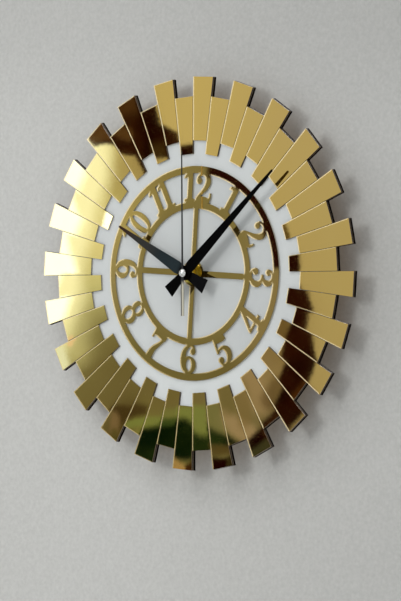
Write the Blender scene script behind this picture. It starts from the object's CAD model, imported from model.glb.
"""Wall clock: a sunburst of gold mirror slats and a gold chapter ring about a white dial,
with a black backing panel and a quartz movement behind.

The clock hangs upright in the XZ plane with the hands' axis on Y. Its front faces -Y, +X is
to the right seen from the front, and clock angles run clockwise from +Z, in degrees.
"""
from math import cos, pi, radians, sin

import bpy
import numpy as np
from mathutils import Matrix, Vector


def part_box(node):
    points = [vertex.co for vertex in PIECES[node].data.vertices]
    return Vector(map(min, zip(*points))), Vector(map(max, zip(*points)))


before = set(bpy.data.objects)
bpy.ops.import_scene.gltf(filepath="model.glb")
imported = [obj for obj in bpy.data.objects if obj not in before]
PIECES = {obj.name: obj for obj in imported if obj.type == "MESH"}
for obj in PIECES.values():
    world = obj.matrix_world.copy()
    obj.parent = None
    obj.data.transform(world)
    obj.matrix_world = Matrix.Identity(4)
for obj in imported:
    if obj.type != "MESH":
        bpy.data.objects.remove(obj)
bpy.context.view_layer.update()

R = 0.175  # radius to the tips of the long slats
SLATS = 48  # places for slats round the dial
GOLD_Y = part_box("chapter_ring")[0][1]  # front face of the mirrors
FLOOR_Z = -0.62
scene = bpy.context.scene


def direction(azimuth, elevation):
    """Unit vector from the clock; azimuth turns from the front (-Y) towards +X, in degrees."""
    a, e = radians(azimuth), radians(elevation)
    return Vector((sin(a) * cos(e), -cos(a) * cos(e), sin(e)))


# ---------------------------------------------------------------- camera
CAMERA_AZIMUTH, CAMERA_ELEVATION, CAMERA_ROLL = 38.118, 1.465, 3.0515  # degrees
CAMERA_DISTANCE = 15.037 * R
CAMERA_RIGHT, CAMERA_UP = 0.0407 * R, -0.1378 * R  # shift across the view
LENS, SENSOR = 177.6638935, 36.0  # mm


def add_camera():
    """Adds the camera and returns its place."""
    back = direction(CAMERA_AZIMUTH, CAMERA_ELEVATION)
    level = (-back).cross(Vector((0, 0, 1))).normalized()
    upright = level.cross(-back)
    roll = radians(CAMERA_ROLL)
    right = cos(roll) * level + sin(roll) * upright
    up = -sin(roll) * level + cos(roll) * upright
    place = Vector((0, GOLD_Y, 0)) + back * CAMERA_DISTANCE
    place = place + right * CAMERA_RIGHT + up * CAMERA_UP
    data = bpy.data.cameras.new("camera")
    data.sensor_width = SENSOR
    data.lens = LENS
    data.clip_start, data.clip_end = 0.05, 60
    camera = bpy.data.objects.new("camera", data)
    scene.collection.objects.link(camera)
    pose = Matrix((right, up, back)).transposed().to_4x4()
    pose.translation = place
    camera.matrix_world = pose
    scene.camera = camera
    return place


# ---------------------------------------------------------------- shader helpers
class Field:
    """An output socket; arithmetic on it adds math nodes."""

    def __init__(self, socket):
        self.socket = socket

    def __add__(self, other):
        return calc("ADD", self, other)

    def __radd__(self, other):
        return calc("ADD", other, self)

    def __sub__(self, other):
        return calc("SUBTRACT", self, other)

    def __rsub__(self, other):
        return calc("SUBTRACT", other, self)

    def __mul__(self, other):
        return calc("MULTIPLY", self, other)

    def __truediv__(self, other):
        return calc("DIVIDE", self, other)


def put(socket, value):
    """Links a Field to an input socket, or sets the socket to a number or tuple."""
    if isinstance(value, Field):
        socket.id_data.links.new(value.socket, socket)
    else:
        socket.default_value = (*value, 1.0) if socket.type == "RGBA" else value


def node(home, kind, inputs={}, **properties):
    """Adds a node to a tree, or to the tree that a Field belongs to."""
    tree = home.socket.id_data if isinstance(home, Field) else home
    made = tree.nodes.new(kind)
    for name, value in properties.items():
        setattr(made, name, value)
    for key, value in inputs.items():
        put(made.inputs[key], value)
    return made


def first(*args, **properties):
    """The first output of a new node."""
    return Field(node(*args, **properties).outputs[0])


def calc(operation, *values):
    home = next(v for v in values if isinstance(v, Field))
    return first(home, "ShaderNodeMath", dict(enumerate(values)), operation=operation)


def vector(operation, *values):
    return first(values[0], "ShaderNodeVectorMath", dict(enumerate(values)), operation=operation)


def scaled(value, factor):
    return first(value, "ShaderNodeVectorMath", {0: value, "Scale": factor}, operation="SCALE")


def around_zero(colour, size):
    """Turns a random colour into a random vector about zero."""
    return scaled(vector("SUBTRACT", colour, (0.5, 0.5, 0.5)), size)


def xyz(value):
    return [Field(out) for out in node(value, "ShaderNodeSeparateXYZ", {0: value}).outputs]


def axis_distance(x, z):
    """Distance from the hands' axis."""
    return calc("SQRT", x * x + z * z)


def step(value, start, end, low=0.0, high=1.0):
    """Smooth step from low, where value is start, to high, where it is end."""
    inputs = dict(enumerate((value, start, end, low, high)))
    return first(value, "ShaderNodeMapRange", inputs, interpolation_type="SMOOTHSTEP")


def mix(factor, a, b):
    """Blends two colours."""
    inputs = {"Factor": factor, 6: a, 7: b}
    return Field(node(factor, "ShaderNodeMix", inputs, data_type="RGBA").outputs[2])


def between(factor, a, b):
    """Blends two numbers."""
    return first(factor, "ShaderNodeMix", {"Factor": factor, 2: a, 3: b}, data_type="FLOAT")


def noise(place, scale, detail=2.0, rough=0.5, distort=0.0, output="Fac"):
    inputs = {
        "Vector": place, "Scale": scale, "Detail": detail, "Roughness": rough,
        "Distortion": distort,
    }
    return Field(node(place, "ShaderNodeTexNoise", inputs).outputs[output])


def streaks(place, scales, detail, rough=0.5):
    """Noise with its own scale along each axis."""
    return noise(vector("MULTIPLY", place, scales), 1.0, detail, rough)


def bump(height, strength, distance):
    inputs = {"Strength": strength, "Distance": distance, "Height": height}
    return first(height, "ShaderNodeBump", inputs)


def mix_shader(factor, a, b):
    return first(factor, "ShaderNodeMixShader", {0: factor, 1: a, 2: b})


def geometry(tree, output):
    return Field(node(tree, "ShaderNodeNewGeometry").outputs[output])


def to_object(normal):
    """X, Y and Z of a normal in the object's own frame."""
    return xyz(first(
        normal, "ShaderNodeVectorTransform", {0: normal},
        vector_type="NORMAL", convert_from="WORLD", convert_to="OBJECT",
    ))


class Material:
    """A material with a Principled shader; position is in metres, before any pose."""

    def __init__(self, name):
        self.data = bpy.data.materials.new(name)
        self.data.use_nodes = True
        self.tree = self.data.node_tree
        self.position = Field(node(self.tree, "ShaderNodeTexCoord").outputs["Object"])

    def face_normal(self):
        return to_object(geometry(self.tree, "True Normal"))

    def flatness(self):
        """How squarely the true face looks along Y, 0 to 1."""
        return calc("ABSOLUTE", self.face_normal()[1])

    def behind(self):
        """1 on faces that look back, towards +Y."""
        return step(self.face_normal()[1], 0.5, 0.9)

    def surface(self, **inputs):
        """Sets Principled inputs by name and returns the material."""
        sockets = self.tree.nodes["Principled BSDF"].inputs
        for name, value in inputs.items():
            put(sockets[name.replace("_", " ").title().replace("Ior", "IOR")], value)
        return self.data


# ---------------------------------------------------------------- the room in the mirrors
# A card stands as far in front of the mirrors as the camera does, and only reflections see it.
# Each point of it is named by the place on the dial, in units of R, that shows it to the camera.
CARD_POINTS, CARD_SPAN = 361, 1.30  # points along a side, half width


def ease(value, start, end):
    q = np.clip((value - start) / (end - start), 0.0, 1.0)
    return q * q * (3 - 2 * q)


def blend(under, over, share):
    share = share[:, None]
    return np.array(under) * (1 - share) + np.array(over) * share


def cloud_of(x, y, scale, seed):
    """Smooth repeatable noise, 0 to 1, in three octaves."""
    grid = np.random.RandomState(seed).rand(64, 64)
    total, weight = 0.0, 0.0
    for octave, share in ((1.0, 1.0), (2.1, 0.5), (4.3, 0.25)):
        across = x * scale * octave + 20.0 + 7 * octave
        along = y * scale * octave + 20.0 + 3 * octave
        i, j = np.floor(across).astype(int), np.floor(along).astype(int)
        fx, fy = across - i, along - j
        fx, fy = fx * fx * (3 - 2 * fx), fy * fy * (3 - 2 * fy)

        def corner(di, dj):
            return grid[(i + di) % 64, (j + dj) % 64]

        low = corner(0, 0) * (1 - fx) + corner(1, 0) * fx
        high = corner(0, 1) * (1 - fx) + corner(1, 1) * fx
        total = total + share * (low * (1 - fy) + high * fy)
        weight += share
    return total / weight


card_line = np.linspace(-CARD_SPAN, CARD_SPAN, CARD_POINTS)
dial_x, dial_z = (grid.ravel() for grid in np.meshgrid(card_line, card_line))
turn = np.degrees(np.arctan2(dial_x, dial_z)) % 360.0
# the same places, slightly warped
warp_x = dial_x + 0.05 * (cloud_of(dial_x, dial_z, scale=3.0, seed=11) - 0.5)
warp_z = dial_z + 0.05 * (cloud_of(dial_x, dial_z, scale=3.0, seed=12) - 0.5)
angle = np.degrees(np.arctan2(warp_x, warp_z)) % 360.0
radius = np.hypot(warp_x, warp_z)
mottle = ease(cloud_of(dial_x, dial_z, scale=7.0, seed=13), 0.25, 0.75)

SAND, OLIVE = (0.61, 0.63, 0.57), (0.17, 0.18, 0.15)
EARTH = blend((0.008, 0.0008, 0.001), (0.024, 0.006, 0.004), mottle)
FOLIAGE = blend((0.002, 0.010, 0.006), (0.020, 0.045, 0.020), mottle)
UMBER = blend((0.009, 0.0008, 0.001), (0.034, 0.012, 0.006), mottle)

# Tones round the clock: angle, colour
INNER_TONES = (
    (0, SAND), (35, (0.54, 0.56, 0.54)), (90, (0.50, 0.51, 0.49)), (108, (0.40, 0.40, 0.38)),
    (124, (0.26, 0.24, 0.23)), (142, (0.32, 0.31, 0.36)), (156, (0.21, 0.22, 0.22)),
    (185, (0.18, 0.19, 0.15)), (225, OLIVE), (242, (0.25, 0.29, 0.26)),
    (262, (0.66, 0.82, 0.88)), (280, (0.85, 1.0, 1.1)), (296, (0.80, 0.95, 1.0)),
    (306, (0.52, 0.58, 0.52)), (326, (0.42, 0.42, 0.37)), (346, SAND), (360, SAND),
)
OUTER_TONES = (
    (0, SAND), (35, (0.54, 0.56, 0.58)), (90, (0.50, 0.52, 0.51)), (125, (0.44, 0.45, 0.44)),
    (142, (0.20, 0.20, 0.21)), (165, (0.20, 0.23, 0.20)), (200, (0.22, 0.27, 0.17)),
    (207, (0.08, 0.07, 0.05)), (215, OLIVE), (230, (0.20, 0.22, 0.19)),
    (239, (0.55, 0.68, 0.75)), (250, (0.75, 0.95, 1.2)), (300, (0.9, 1.1, 1.3)),
    (315, (0.62, 0.70, 0.66)), (340, SAND), (360, SAND),
)
DIAL_TONES = (
    (0, (0.25, 0.27, 0.24)), (95, (0.27, 0.275, 0.28)), (125, (0.27, 0.275, 0.28)),
    (150, (0.17, 0.18, 0.15)), (220, (0.19, 0.21, 0.18)), (262, (0.33, 0.36, 0.38)),
    (300, (0.46, 0.50, 0.45)), (330, (0.30, 0.315, 0.27)), (360, (0.25, 0.27, 0.24)),
)

# Patches, laid in this order: half width, softness, share, colour, points.
# A stroke follows points of (angle, radius). A band has no half width, and its points are
# (angle, from radius, to radius); the radii may jump where one slat meets the next.
PATCHES = (
    # lower half: pale brown patches, leaves, and the dark ground behind them
    (0.03, 0.05, 0.85, (0.34, 0.32, 0.38), [(141, 0.64), (144, 0.79)]),
    (0.018, 0.045, 0.85, (0.38, 0.36, 0.46), [(152, 0.90), (157, 0.83), (162, 0.76)]),
    (0.02, 0.05, 0.6, (0.22, 0.20, 0.17), [(149, 0.66), (153, 0.82)]),
    (0.02, 0.05, 0.6, (0.17, 0.18, 0.14), [(156, 0.63), (159, 0.72)]),
    (None, 0.06, 0.9, (0.19, 0.24, 0.20), [(161.26, 0.66, 0.84), (168.75, 0.66, 0.80)]),
    (None, 0.035, 0.9, (0.21, 0.32, 0.19), [
        (168.76, 0.685, 0.86), (176.25, 0.68, 0.84), (176.26, 0.692, 0.79),
        (183.75, 0.692, 0.79), (183.76, 0.705, 0.79), (191.25, 0.722, 0.82),
        (191.26, 0.757, 0.84), (198.75, 0.785, 0.90), (198.76, 0.79, 0.845),
        (202.5, 0.828, 0.885), (206.25, 0.875, 0.96)]),
    (None, 0.05, 0.45, (0.17, 0.20, 0.15), [(183.76, 0.69, 0.80), (191.25, 0.70, 0.83)]),
    (None, 0.05, 0.92, (0.062, 0.050, 0.034), [
        (198.76, 0.725, 0.785), (202.5, 0.74, 0.815), (206.25, 0.76, 0.86),
        (206.26, 0.79, 0.905), (210.0, 0.82, 0.91), (213.75, 0.86, 0.90)]),
    (0.012, 0.04, 0.8, (0.23, 0.20, 0.22), [(209, 0.97), (210.5, 0.92)]),
    (0.01, 0.03, 0.8, (0.09, 0.10, 0.05), [(207, 1.02), (208.5, 0.98)]),
    (None, 0.05, 1.0, FOLIAGE, [
        (153.75, 0.97, 1.2), (157, 0.90, 1.2), (161.25, 0.85, 1.2), (161.26, 0.835, 0.895),
        (168.75, 0.775, 0.87), (168.76, 0.83, 1.2), (172.5, 0.825, 1.2), (176.25, 0.80, 1.2),
        (176.26, 0.77, 0.93), (180, 0.752, 0.94), (183.75, 0.752, 0.95), (183.76, 0.768, 1.2),
        (187.5, 0.768, 1.2), (191.25, 0.79, 1.2), (191.26, 0.80, 1.2), (195, 0.83, 1.2),
        (198.75, 0.87, 1.2)]),
    (None, 0.07, 0.7, (0.002, 0.009, 0.004), [(176.26, 0.80, 0.90), (191.25, 0.81, 0.88)]),
    (None, 0.03, 0.8, (0.045, 0.10, 0.045), [(183.76, 0.745, 0.785), (191.25, 0.765, 0.81)]),
    (None, 0.03, 0.8, (0.085, 0.07, 0.04), [(161.26, 0.885, 0.925), (168.75, 0.86, 0.915)]),
    (None, 0.02, 1.0, (0.035, 0.034, 0.022), [(161.26, 0.93, 1.2), (163.4, 0.93, 1.2)]),
    (None, 0.025, 1.0, (0.012, 0.001, 0.001), [(163.4, 0.935, 1.2), (168.75, 0.915, 1.2)]),
    (None, 0.03, 1.0, (0.050, 0.020, 0.008), [(176.26, 0.935, 1.2), (179.4, 0.96, 1.2)]),
    (None, 0.03, 0.9, (0.44, 0.36, 0.30), [(179.0, 0.955, 1.2), (183.75, 0.94, 1.2)]),
    # the dark band on the right
    (0.015, 0.02, 1.0, (0.12, 0.095, 0.045), [(64, 0.60), (71, 0.603)]),
    (0.03, 0.04, 0.9, (0.15, 0.12, 0.085), [(110, 0.60), (116, 0.63)]),
    (0.02, 0.06, 0.7, (0.11, 0.085, 0.065), [(133, 0.78), (140, 0.80)]),
    (None, 0.03, 1.0, EARTH, [
        (78.75, 0.5, 0.672), (86.25, 0.5, 0.672), (86.26, 0.5, 0.60), (90, 0.5, 0.67),
        (93.75, 0.5, 0.70), (93.76, 0.5, 0.735), (97.5, 0.5, 0.755), (101.25, 0.5, 0.778),
        (101.26, 0.5, 0.755), (108.75, 0.5, 0.775), (108.76, 0.652, 0.80), (112.5, 0.652, 0.83),
        (116.25, 0.655, 0.87), (116.26, 0.66, 0.885), (120, 0.67, 0.90), (123.75, 0.685, 0.91),
        (123.76, 0.725, 1.2), (127.5, 0.74, 1.2), (131.25, 0.765, 1.2), (131.26, 0.80, 0.985),
        (138.75, 0.835, 0.99), (138.76, 0.86, 1.2), (146.25, 0.875, 1.2), (146.26, 0.90, 1.2),
        (153.75, 0.915, 1.2)]),
    (None, 0.04, 0.8, (0.075, 0.036, 0.016), [(123.76, 0.88, 1.2), (131.25, 0.87, 1.2)]),
    (None, 0.03, 0.7, (0.055, 0.030, 0.015), [(138.76, 0.885, 1.2), (146.25, 0.90, 1.2)]),
    (None, 0.03, 0.85, (0.055, 0.070, 0.065), [(146.26, 0.965, 1.2), (153.75, 0.965, 1.2)]),
    (None, 0.012, 1.0, (0.016, 0.002, 0.002), [(76.5, 0.5, 0.668), (88.0, 0.5, 0.668)]),
    # a short dark band at the top
    (None, 0.012, 1.0, (0.014, 0.002, 0.002), [(346.5, 0.5, 0.668), (359.0, 0.5, 0.668)]),
    # the window, at the left
    (0.10, 0.15, 1.0, (1.2, 1.55, 2.3), [
        (252, 1.04), (258, 0.97), (265, 0.91), (278, 0.91), (286, 0.88), (294, 0.90),
        (301, 0.90), (307, 0.96)]),
    (None, 0.09, 1.0, (2.0, 2.7, 5.0), [
        (251.25, 0.90, 1.2), (258.75, 0.83, 1.2), (258.76, 0.93, 1.2), (266.25, 0.89, 1.2),
        (266.26, 0.76, 1.2), (273.75, 0.82, 1.2), (273.76, 0.83, 1.2), (281.25, 0.88, 1.2),
        (281.26, 0.81, 1.2), (288.75, 0.79, 1.2), (288.76, 0.84, 1.2), (296.25, 0.94, 1.2),
        (296.26, 0.88, 1.2), (303.75, 0.89, 1.2), (303.76, 0.90, 1.2), (311.25, 0.95, 1.2)]),
    (0.02, 0.05, 1.0, (0.95, 1.3, 2.2), [(238, 1.0), (243, 0.99)]),
    (0.006, 0.018, 0.8, (1.0, 0.90, 1.2), [(243.4, 0.90), (244.6, 0.865)]),
    (0.035, 0.012, 1.0, (2.2, 2.9, 5.6), [(288, 0.605), (296, 0.622)]),
    # the dark band at the upper left
    (None, 0.025, 1.0, UMBER, [
        (311.25, 0.935, 1.2), (315, 0.89, 1.2), (318.75, 0.835, 1.2), (318.76, 0.80, 1.2),
        (322.5, 0.75, 1.2), (326.25, 0.71, 1.2), (326.26, 0.5, 1.2), (333.75, 0.5, 1.2),
        (333.76, 0.645, 1.2), (341.25, 0.625, 1.2), (341.26, 0.5, 0.80), (345, 0.5, 0.765),
        (348.75, 0.5, 0.735), (348.76, 0.5, 0.672), (356.25, 0.5, 0.672)]),
    (None, 0.04, 0.75, (0.125, 0.078, 0.055), [(311.25, 0.96, 1.2), (318.75, 0.87, 1.2)]),
    (0.012, 0.04, 0.7, (0.13, 0.085, 0.060), [(320, 0.95), (325, 0.86), (327, 0.83)]),
    (None, 0.10, 0.8, (0.085, 0.050, 0.030), [(326.26, 0.93, 1.2), (333.75, 0.90, 1.2)]),
    (None, 0.06, 0.7, (0.062, 0.045, 0.022), [(333.76, 0.645, 0.72), (341.25, 0.625, 0.70)]),
)


def sweep(stops):
    angles = [stop[0] for stop in stops]
    channels = [np.interp(angle, angles, [stop[1][k] for stop in stops]) for k in range(3)]
    return np.stack(channels, -1)


def stroke_mask(points, half_width, soft, share):
    nearest = np.full_like(warp_x, 9.0)
    places = [(r * sin(radians(a)), r * cos(radians(a))) for a, r in points]
    for (ax, az), (bx, bz) in zip(places, places[1:]):
        vx, vz = bx - ax, bz - az
        along = ((warp_x - ax) * vx + (warp_z - az) * vz) / (vx * vx + vz * vz)
        along = np.clip(along, 0.0, 1.0)
        distance = np.hypot(warp_x - ax - along * vx, warp_z - az - along * vz)
        nearest = np.minimum(nearest, distance)
    return share * (1.0 - ease(nearest, half_width, half_width + soft))


def band_mask(points, soft, share):
    angles = [point[0] for point in points]
    lo, hi = (np.interp(turn, angles, [point[i] for point in points]) for i in (1, 2))
    mask = ease(radius, lo - soft / 2, lo + soft / 2)
    mask = mask * (1.0 - ease(radius, hi - soft / 2, hi + soft / 2))
    return share * mask * (turn >= angles[0]) * (turn <= angles[-1])


def room_colours():
    room = blend(sweep(INNER_TONES), sweep(OUTER_TONES), ease(radius, 0.66, 0.90))
    for half_width, soft, share, colour, points in PATCHES:
        if half_width is None:
            mask = band_mask(points, soft, share)
        else:
            mask = stroke_mask(points, half_width, soft, share)
        room = blend(room, colour, mask)
    # the chapter ring sees an even part of the room, with a dark arc at the upper right
    dial = blend(sweep(DIAL_TONES), (0.23, 0.25, 0.23), ease(radius, 0.44, 0.30))
    arc = ease(radius, 0.480, 0.500) * ease(angle, 4.0, 9.0) * (1.0 - ease(angle, 83.5, 86.5))
    dial = blend(dial, (0.018, 0.003, 0.003), arc)
    return blend(dial, room, ease(radius, 0.570, 0.575))


def add_mesh(name, points, faces):
    mesh = bpy.data.meshes.new(name)
    mesh.from_pydata(points, [], faces)
    made = bpy.data.objects.new(name, mesh)
    scene.collection.objects.link(made)
    return made


def add_room_card(camera_place):
    count = CARD_POINTS * CARD_POINTS
    index = np.arange(count).reshape(CARD_POINTS, CARD_POINTS)
    corners = [index[:-1, :-1], index[:-1, 1:], index[1:, 1:], index[1:, :-1]]
    quads = np.stack(corners, -1).reshape(-1, 4)
    card_y = GOLD_Y - abs(camera_place.y - GOLD_Y)
    card_x, card_z = 2 * R * dial_x - camera_place.x, 2 * R * dial_z - camera_place.z
    points = np.stack([card_x, np.full(count, card_y), card_z], -1)
    card = add_mesh("room_card", points.tolist(), quads.tolist())
    opacity = ease(np.hypot(dial_x, dial_z), 1.28, 1.06)
    colours = np.concatenate([room_colours(), opacity[:, None]], 1).astype(np.float32)
    tint = card.data.attributes.new("room", "FLOAT_COLOR", "POINT")
    tint.data.foreach_set("color", colours.ravel())
    card.visible_camera = card.visible_diffuse = False
    card.visible_shadow = card.visible_transmission = False

    glow = bpy.data.materials.new("room_card")
    glow.use_nodes = True
    tree = glow.node_tree
    tree.nodes.clear()
    seen = node(tree, "ShaderNodeAttribute", attribute_name="room").outputs
    clear = first(tree, "ShaderNodeBsdfTransparent")
    light = first(tree, "ShaderNodeEmission", {"Color": Field(seen["Color"])})
    both = mix_shader(Field(seen["Alpha"]), clear, light)
    node(tree, "ShaderNodeOutputMaterial", {"Surface": both})
    glow.cycles.emission_sampling = "NONE"
    card.data.materials.append(glow)


# Broad soft patches beyond the card, for other viewing angles: noise value, colour
FAR_TONES = (
    (0.0, (0.04, 0.02, 0.015)), (0.33, (0.06, 0.035, 0.025)), (0.39, (0.26, 0.24, 0.20)),
    (0.47, (0.50, 0.51, 0.48)), (0.56, (0.62, 0.64, 0.60)), (0.64, (0.95, 1.05, 1.1)),
    (1.0, (1.5, 1.7, 2.0)),
)


def add_world():
    """Reflections see the far room; the camera and the diffuse light see a plain tone."""
    world = bpy.data.worlds.new("room")
    scene.world = world
    world.use_nodes = True
    tree = world.node_tree
    tree.nodes.clear()
    view = scaled(geometry(tree, "Incoming"), -1.0)
    broad = noise(view, scale=3.4, detail=3.0, rough=0.55, distort=0.6)
    ramp = node(tree, "ShaderNodeValToRGB", {0: broad})
    stops = ramp.color_ramp.elements
    while len(stops) > 1:
        stops.remove(stops[-1])
    for i, (position, colour) in enumerate(FAR_TONES):
        stop = stops.new(position) if i else stops[0]
        stop.position = position
        stop.color = (*colour, 1.0)
    path = node(tree, "ShaderNodeLightPath").outputs
    far = first(tree, "ShaderNodeBackground", {"Color": Field(ramp.outputs[0])})
    tone = mix(Field(path["Is Camera Ray"]), (0.86, 0.87, 0.89), (0.60, 0.60, 0.60))
    plain = first(tree, "ShaderNodeBackground", {"Color": tone, "Strength": 0.62})
    both = mix_shader(Field(path["Is Glossy Ray"]), plain, far)
    node(tree, "ShaderNodeOutputWorld", {"Surface": both})


# ---------------------------------------------------------------- materials
def slat_wall(mat, x, z, depth, burn):
    """Cut walls of the slats: inner ends, outer ends, and the gaps between neighbours."""
    distance = axis_distance(x, z)
    nx, _, nz = mat.face_normal()
    radial = step(calc("ABSOLUTE", (nx * x + nz * z) / distance), 0.6, 0.8)
    tip = step(distance, 0.894 * R, 0.899 * R)
    gap = (1.0 - radial) * (1.0 - tip)
    inner = radial * step(distance, 0.76 * R, 0.74 * R)
    charred = mix(burn, (0.004, 0.003, 0.002), (0.014, 0.009, 0.005))
    outer_wall = mix(step(depth, 0.0003, 0.0005), (0.55, 0.38, 0.22), charred)
    pale = mix(burn, (0.50, 0.47, 0.40), (0.58, 0.56, 0.50))
    inner_wall = mix(step(depth, 0.0006, 0.0009), (0.10, 0.085, 0.05), pale)
    gap_wall = mix(burn, (0.045, 0.025, 0.006), (0.085, 0.050, 0.012))
    return mix(gap, mix(inner, outer_wall, inner_wall), gap_wall)


def ring_wall(mat, x, z, depth, burn):
    pale = mix(burn, (0.50, 0.48, 0.40), (0.60, 0.58, 0.51))
    return mix(step(depth, 0.0006, 0.0009), (0.115, 0.095, 0.04), pale)


def gold_mirror(name, tilt, rim_width, rim_turn, cut_wall):
    """Gold mirrored acrylic: a mirror under a clear sheet.

    Each slat sits a hair out of true by tilt, so its reflection is shifted against its
    neighbour's. Where an edge turns away to -X, over the rim_turn range of the rounded
    normal, the far wall of the clear sheet shows through the face as a pale rim.
    """
    mat = Material(name)
    pos = mat.position
    x, y, z = xyz(pos)
    front = step(mat.flatness(), 0.985, 0.995)

    # the lean of each slat, slow waves and a fine ripple
    clock = calc("FLOORED_MODULO", calc("ARCTAN2", x, z), 2 * pi)
    slat = calc("ROUND", clock * (SLATS / (2 * pi)))
    seed = calc("FLOORED_MODULO", slat, float(SLATS)) + 0.37
    chance = node(seed, "ShaderNodeTexWhiteNoise", noise_dimensions="1D")
    put(chance.inputs["W"], seed)
    lean = around_zero(Field(chance.outputs["Color"]), tilt)
    wave = around_zero(noise(pos, scale=26.0, detail=1.0, rough=0.4, output="Color"), 0.0028)
    ripple = around_zero(noise(pos, scale=420.0, detail=1.0, output="Color"), 0.0009)
    shift = scaled(vector("ADD", vector("ADD", lean, wave), ripple), front)
    bent = vector("NORMALIZE", vector("ADD", geometry(mat.tree, "Normal"), shift))

    speck = step(noise(pos, scale=900.0, rough=0.6), 0.60, 0.75)
    smear = noise(pos, scale=34.0, detail=4.0, rough=0.6, distort=0.6)
    face = mix(smear, (0.815, 0.560, 0.168), (0.835, 0.585, 0.185))
    rounded = first(mat.tree, "ShaderNodeBevel", {"Radius": rim_width}, samples=6)
    away = step(to_object(rounded)[0], *rim_turn)
    low = step(z, -0.15 * R, -0.45 * R) * step(x, 0.55 * R, 0.25 * R)  # fainter low down
    rim = front * (away * (1.0 - low * 0.45))
    cloud = noise(pos, scale=160.0, detail=3.0, rough=0.6)
    cream = mix(cloud, (0.95, 0.76, 0.42), (1.0, 0.86, 0.52))

    burn = streaks(pos, (1500.0, 120.0, 1500.0), detail=2.0)
    wall = cut_wall(mat, x, z, y - GOLD_Y, burn)
    gloss = rim * 0.35 + (0.012 + (speck * 0.05 + smear * 0.012))
    return mat.surface(
        normal=bent,
        base_color=mix(front, wall, mix(rim, face, cream)),
        metallic=front * (1.0 - rim),
        roughness=between(front, 0.30, gloss),
    )


def moulded(name, base, vary, rough=0.45, grain=1400.0, depth=0.00002, blotch=60.0, **more):
    """A moulded or coated surface: slow colour drift, fine grain in roughness and relief."""
    mat = Material(name)
    slow = noise(mat.position, scale=blotch, detail=4.0, rough=0.55)
    fine = noise(mat.position, scale=grain, detail=3.0, rough=0.6)
    return mat.surface(
        base_color=mix(step(slow, 0.3, 0.7), base, vary),
        roughness=(rough - 0.08) + fine * 0.16,
        normal=bump(fine, strength=0.6, distance=depth),
        **more,
    )


def turned(name, base, vary, rough):
    """Turned or rolled metal: fine rings about the hands' axis, with slight tarnish."""
    mat = Material(name)
    x, y, z = xyz(mat.position)
    inputs = {0: axis_distance(x, z) * 5200.0, 1: y * 900.0, 2: 0.0}
    place = first(mat.tree, "ShaderNodeCombineXYZ", inputs)
    rings = noise(place, scale=1.0, detail=3.0, rough=0.65)
    tarnish = noise(mat.position, scale=130.0, detail=4.0, rough=0.6)
    return mat.surface(
        base_color=mix(step(tarnish, 0.35, 0.70), base, vary),
        metallic=1.0,
        roughness=rough + rings * 0.16,
        normal=bump(rings, strength=0.5, distance=0.00002),
    )


def board_black():
    """Fibreboard sprayed black: fibrous back, edges charred in fine streaks along Y."""
    mat = Material("board_black")
    pos = mat.position
    edge = step(mat.flatness(), 0.9, 0.5)
    grain = vector("MULTIPLY", pos, (1.0, 1.0, 3.0))
    fibre = noise(grain, scale=520.0, detail=5.0, rough=0.7, distort=1.2)
    cloud = noise(pos, scale=22.0, detail=3.0)
    char = streaks(pos, (1300.0, 60.0, 1300.0), detail=3.0, rough=0.6)
    brown = mix(cloud, (0.200, 0.138, 0.086), (0.270, 0.190, 0.122))
    board = mix(fibre, (0.105, 0.068, 0.040), brown)
    charred = mix(step(char, 0.35, 0.75), (0.0004, 0.0004, 0.0004), (0.0022, 0.0016, 0.0012))
    return mat.surface(
        base_color=mix(edge, board, charred),
        roughness=between(edge, 0.55 + fibre * 0.25, 0.55 + char * 0.25),
        specular_ior_level=between(edge, 0.4, 0.02),
        normal=bump(between(edge, fibre, char), strength=0.7, distance=0.00005),
    )


def white_laminate():
    """Satin white melamine with a very fine pebble, shaded across and down the dial."""
    mat = Material("white_laminate")
    pos = mat.position
    cloud = noise(pos, scale=30.0, detail=4.0, rough=0.55)
    pebble = noise(pos, scale=1100.0)
    x, _, z = xyz(pos)
    middle = step(x, -0.09, 0.06, 0.985, 0.865)
    border = step(x, 0.05, 0.12, 1.0, 0.97)
    across = between(step(axis_distance(x, z), 0.086, 0.098), middle, border)
    shade = across * step(z, -0.03, -0.09, 1.0, 1.07)
    white = mix(cloud, (0.560, 0.590, 0.590), (0.600, 0.625, 0.620))
    return mat.surface(
        base_color=scaled(white, shade),
        roughness=0.36 + pebble * 0.14,
        specular_ior_level=0.35,
        normal=bump(pebble, strength=0.35, distance=0.00002),
    )


def copper_wire():
    """Windings spaced along X."""
    mat = Material("copper_wire")
    turns = calc("ABSOLUTE", calc("SINE", xyz(mat.position)[0] * (2 * pi / 0.00025)))
    tone = noise(mat.position, scale=300.0, detail=3.0, rough=0.6)
    return mat.surface(
        base_color=mix(tone, (0.42, 0.14, 0.04), (0.62, 0.24, 0.08)),
        metallic=0.8,
        roughness=0.25 + tone * 0.1,
        normal=bump(turns, strength=0.8, distance=0.00006),
    )


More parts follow.
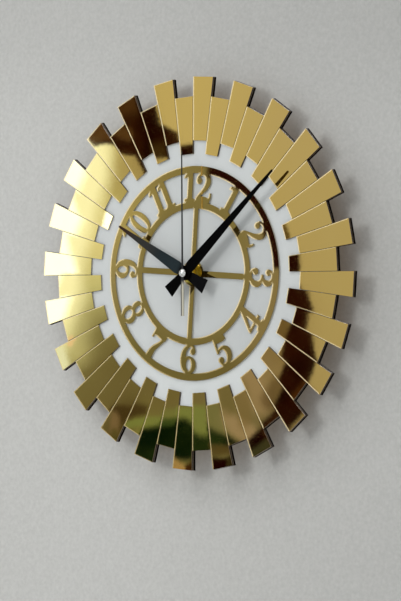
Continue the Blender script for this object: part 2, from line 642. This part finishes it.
def cell_sleeve():
    """Sleeve of the cell, along X: gold, a pale band, green, and bare metal at both ends."""
    mat = Material("cell_sleeve")
    pos = mat.position
    lo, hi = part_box("battery")
    along = (xyz(pos)[0] - lo[0]) / (hi[0] - lo[0])
    bare = step(along, 0.040, 0.036) + step(along, 0.985, 0.989)
    band = step(along, 0.25, 0.252) * step(along, 0.30, 0.298)
    stretched = vector("MULTIPLY", pos, (1.0, 4.0, 4.0))
    scuff = noise(stretched, scale=260.0, detail=4.0, rough=0.65)
    body = mix(step(along, 0.249, 0.251), (0.50, 0.40, 0.12), (0.010, 0.050, 0.034))
    body = mix(band, body, (0.62, 0.62, 0.60))
    body = mix(step(scuff, 0.60, 0.72) * 0.35, body, (0.35, 0.35, 0.34))
    return mat.surface(
        base_color=mix(bare, body, (0.66, 0.66, 0.65)),
        metallic=bare,
        roughness=0.22 + scuff * 0.16,
        coat_weight=0.4,
        normal=bump(scuff, strength=0.2, distance=0.00002),
    )


def lacquer(name, base, sheen, rough, specular, blade=None):
    """Black enamel with slight orange peel and a little dust; the back is plain dark metal.

    blade gives a paler sheen: (clock angle, near the hub, halfway, at the tip).
    """
    mat = Material(name)
    pos = mat.position
    behind = mat.behind()
    peel = noise(pos, scale=800.0)
    dust = step(noise(pos, scale=2600.0, rough=0.6), 0.66, 0.75)
    cloud = noise(pos, scale=45.0)
    brushed = streaks(pos, (300.0, 300.0, 3000.0), detail=2.0)
    front = mix(cloud, base, sheen)
    if blade:
        clock, hub, halfway, tip = blade
        x, _, z = xyz(pos)
        along = x * sin(radians(clock)) + z * cos(radians(clock))
        pale = mix(step(along, 0.060, 0.084), halfway, tip)
        pale = mix(step(along, 0.030, 0.050), hub, pale)
        front = mix(step(along, 0.004, 0.012), front, mix(cloud * 0.35, pale, front))
    front = mix(dust * 0.03, front, (0.16, 0.16, 0.15))
    metal = mix(brushed, (0.050, 0.046, 0.030), (0.085, 0.080, 0.055))
    return mat.surface(
        base_color=mix(behind, front, metal),
        metallic=behind * 0.3,
        roughness=between(behind, rough + peel * 0.10, 0.40 + brushed * 0.2),
        specular_ior_level=between(behind, specular, 0.2),
        normal=bump(peel, strength=0.25, distance=0.00001),
    )


def second_metal():
    """Dark gloss along the pointer; the counterpoise is pale metal between dark edges."""
    mat = Material("second_metal")
    pos = mat.position
    x, _, z = xyz(pos)
    tail = step(z, -0.006, -0.011)
    off = x - z * -0.0752  # sideways from the hand's centre line
    middle = step(off, -0.0010, -0.0006) * step(off, 0.00165, 0.0014)
    lit = tail * middle * step(mat.flatness(), 0.8, 0.95)
    grain = streaks(pos, (2500.0, 400.0, 250.0), detail=3.0, rough=0.55)
    dark = mix(grain, (0.004, 0.004, 0.004), (0.012, 0.011, 0.009))
    pale = mix(grain, (0.42, 0.40, 0.31), (0.52, 0.50, 0.41))
    back = mix(grain, (0.74, 0.72, 0.62), (0.84, 0.82, 0.72))
    return mat.surface(
        base_color=mix(mat.behind(), mix(lit, dark, pale), back),
        roughness=0.26 + grain * 0.14,
        specular_ior_level=0.3,
        normal=bump(grain, strength=0.2, distance=0.00001),
    )


def dress(material, *names):
    for name in names:
        slots = PIECES[name].data.materials
        slots.clear()
        slots.append(material)


def dress_pieces():
    dress(gold_mirror("gold_mirror_slats", tilt=0.0014, rim_width=0.0019,
                      rim_turn=(-0.06, -0.16), cut_wall=slat_wall), "long_slats", "short_slats")
    dress(gold_mirror("gold_mirror_ring", tilt=0.0, rim_width=0.0024,
                      rim_turn=(-0.045, -0.12), cut_wall=ring_wall), "chapter_ring")
    dress(board_black(), "backing_panel")
    dress(white_laminate(), "dial_face")
    dress(moulded("case_black", (0.012, 0.012, 0.013), (0.020, 0.020, 0.021),
                  rough=0.5, grain=2200.0, depth=0.00004), "movement_front_case")
    dress(moulded("cover_black", (0.017, 0.017, 0.018), (0.026, 0.026, 0.028),
                  rough=0.42, grain=1800.0, depth=0.00003), "movement_rear_cover")
    dress(moulded("knob_grey", (0.035, 0.035, 0.038), (0.055, 0.055, 0.058),
                  grain=2000.0, depth=0.00003), "setting_knob")
    dress(moulded("rubber", (0.014, 0.014, 0.014), (0.022, 0.022, 0.022),
                  rough=0.8, grain=900.0, depth=0.00005), "rubber_washer")
    dress(moulded("nylon", (0.74, 0.71, 0.62), (0.80, 0.78, 0.71),
                  rough=0.38, grain=1500.0, depth=0.00001, subsurface_weight=0.15,
                  subsurface_radius=(0.001, 0.0008, 0.0006)),
          "mid_plate", "coil_bobbin", "rotor_pinion", "intermediate_wheel", "seconds_wheel",
          "third_wheel", "centre_wheel", "minute_wheel", "hour_wheel")
    dress(turned("brass", (0.98, 0.78, 0.15), (0.86, 0.66, 0.10), rough=0.24),
          "threaded_bush", "brass_washer", "hex_nut", "minute_arbor")
    dress(turned("steel", (0.62, 0.62, 0.63), (0.48, 0.48, 0.50), rough=0.28),
          "hanger", "stator", "clutch_spring", "rotor_magnet")
    dress(turned("nickel", (0.74, 0.73, 0.70), (0.60, 0.59, 0.56), rough=0.18),
          "battery_contact_positive", "battery_contact_negative", "quartz_crystal")
    dress(moulded("solder_mask", (0.012, 0.12, 0.045), (0.02, 0.17, 0.07),
                  rough=0.3, grain=700.0, blotch=500.0, coat_weight=0.5), "circuit_board")
    dress(moulded("epoxy_black", (0.008, 0.008, 0.009), (0.016, 0.016, 0.017),
                  rough=0.28, grain=1500.0, depth=0.00001, coat_weight=0.4), "driver_chip")
    dress(copper_wire(), "coil_winding")
    dress(cell_sleeve(), "battery")
    blade = (295.7, (0.020, 0.030, 0.034), (0.036, 0.036, 0.033), (0.044, 0.022, 0.014))
    dress(lacquer("lacquer_hour", (0.0012, 0.0013, 0.0015), (0.003, 0.003, 0.0035),
                  rough=0.34, specular=0.04, blade=blade), "hour_hand")
    dress(lacquer("lacquer_minute", (0.0004, 0.0004, 0.0005), (0.0011, 0.0011, 0.0012),
                  rough=0.40, specular=0.02), "minute_hand")
    dress(second_metal(), "second_hand")
    dress(turned("polished_cap", (0.86, 0.86, 0.88), (0.78, 0.78, 0.81), rough=0.05),
          "second_hand_cap")


def soften_hands():
    """Soft edges on the hour and minute hands, so that they catch the light."""
    for name in ("hour_hand", "minute_hand"):
        edge = PIECES[name].modifiers.new("edge", "BEVEL")
        edge.width, edge.segments = 0.00012, 2
        edge.limit_method, edge.angle_limit = "ANGLE", radians(50)
        edge.harden_normals = False
        edge.use_clamp_overlap = True


# ---------------------------------------------------------------- stage and light
def wall_paint():
    """Rolled paint, darker to the right, at the top and in a halo about the clock."""
    mat = Material("wall_paint")
    pos = mat.position
    x, _, z = xyz(pos)
    roll = noise(pos, scale=260.0, detail=4.0, rough=0.6)
    cloud = noise(pos, scale=5.0, detail=4.0)
    height = step(z, 0.10, 0.25, 1.0, 0.87) * step(z, -0.12, -0.34, 1.0, 0.985)
    tone = step(x, -0.18, 0.26, 0.945, 0.835) * height
    away = calc("SQRT", calc("POWER", x - 0.02, 2.0) + calc("POWER", z + 0.005, 2.0))
    halo = step(away, 0.235, 0.15) * step(z, 0.17, 0.06)
    tone = tone * (1.0 - halo * 0.12)
    tone = tone * (0.83 + noise(pos, scale=300.0, detail=3.0, rough=0.65) * 0.34)
    paint = mix(cloud, (0.527, 0.532, 0.512), (0.553, 0.558, 0.540))
    mat.surface(
        base_color=scaled(paint, tone),
        roughness=0.75,
        normal=bump(roll, strength=0.45, distance=0.0007),
    )
    # clear from behind, so that the back of the clock can be looked at
    nodes = mat.tree.nodes
    painted = Field(nodes["Principled BSDF"].outputs[0])
    clear = first(mat.tree, "ShaderNodeBsdfTransparent")
    swap = mix_shader(geometry(mat.tree, "Backfacing"), painted, clear)
    put(nodes["Material Output"].inputs["Surface"], swap)
    return mat.data


def floor_pale():
    mat = Material("floor_pale")
    cloud = noise(mat.position, scale=3.0, detail=3.0)
    pale = mix(cloud, (0.62, 0.61, 0.60), (0.68, 0.67, 0.66))
    return mat.surface(base_color=pale, roughness=0.6)


def add_stage():
    y, top, side = 0.0009, 4, 6
    corners = [(-side, y, FLOOR_Z), (side, y, FLOOR_Z), (side, y, top), (-side, y, top)]
    wall = add_mesh("wall", corners, [(0, 1, 2, 3)])  # faces -Y
    wall.visible_shadow = False  # the light behind it may reach the back of the clock
    corners = [(x, y, FLOOR_Z) for x, y in ((-9, -9), (9, -9), (9, 9), (-9, 9))]
    floor = add_mesh("floor", corners, [(0, 1, 2, 3)])
    floor.visible_glossy = False
    wall.data.materials.append(wall_paint())
    floor.data.materials.append(floor_pale())


def add_light(name, azimuth, elevation, distance, size, power, colour=(1, 1, 1)):
    """A disk light aimed at the origin."""
    towards = direction(azimuth, elevation)
    light = bpy.data.lights.new(name, "AREA")
    light.shape, light.size, light.energy, light.color = "DISK", size, power, colour
    lamp = bpy.data.objects.new(name, light)
    lamp.location = towards * distance
    lamp.rotation_mode = "QUATERNION"
    lamp.rotation_quaternion = (-towards).to_track_quat("-Z", "Y")
    scene.collection.objects.link(lamp)


add_room_card(add_camera())
add_world()
dress_pieces()
soften_hands()
add_stage()
WARM = (1.0, 0.995, 0.98)
add_light("key", azimuth=-14, elevation=14, distance=3.2, size=1.1, power=26, colour=WARM)
add_light("ceiling", azimuth=-6, elevation=46, distance=3.2, size=2.4, power=26, colour=WARM)
add_light("rear", azimuth=205, elevation=28, distance=3.0, size=2.0, power=120)
scene.view_settings.view_transform = "Standard"
scene.view_settings.look = "None"
scene.view_settings.exposure = 0.0
scene.cycles.max_bounces = 8
